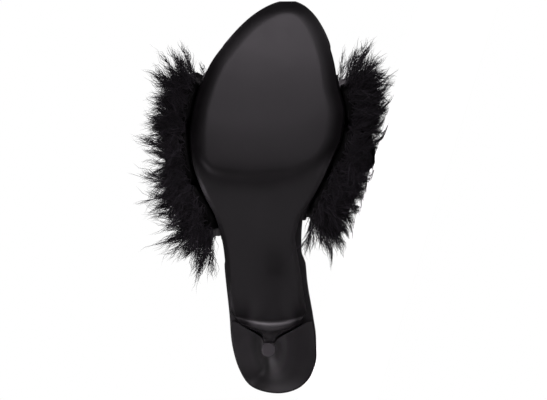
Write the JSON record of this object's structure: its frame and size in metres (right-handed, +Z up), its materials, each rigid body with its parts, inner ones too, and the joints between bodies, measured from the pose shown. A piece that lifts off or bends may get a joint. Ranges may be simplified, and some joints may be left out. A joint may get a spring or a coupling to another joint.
{
  "type": "heeled marabou slipper",
  "caption": "Open-toed heeled mule for the right foot: leather sole curled down the heel's breast, padded insole and a band covered in feather fringe.",
  "frame": {"origin": "centre of the bounding box's underside, on the floor that the slipper lies on with its big-toe side down", "axes": "+Z up from that floor, +X towards the toe, which points up from it by 17 degrees, -Y out of the sole; lengths along the foot run in the XZ plane"},
  "size_m": [0.226, 0.0996, 0.137],
  "materials": {
    "sole_leather": "polished black sole leather",
    "lining_leather": "soft black lining leather",
    "heel_cover": "polished black leather cover",
    "top_piece": "matte dark grey",
    "band_leather": "smooth black leather",
    "feather": "black down with a soft sheen"
  },
  "bodies": {
    "root": {"outsole": "sole_leather", "insole": "lining_leather", "heel": "heel_cover", "top_piece": "top_piece", "upper": "band_leather", "marabou_front": "feather", "marabou_middle": "feather", "marabou_rear": "feather"}
  },
  "joints": []
}
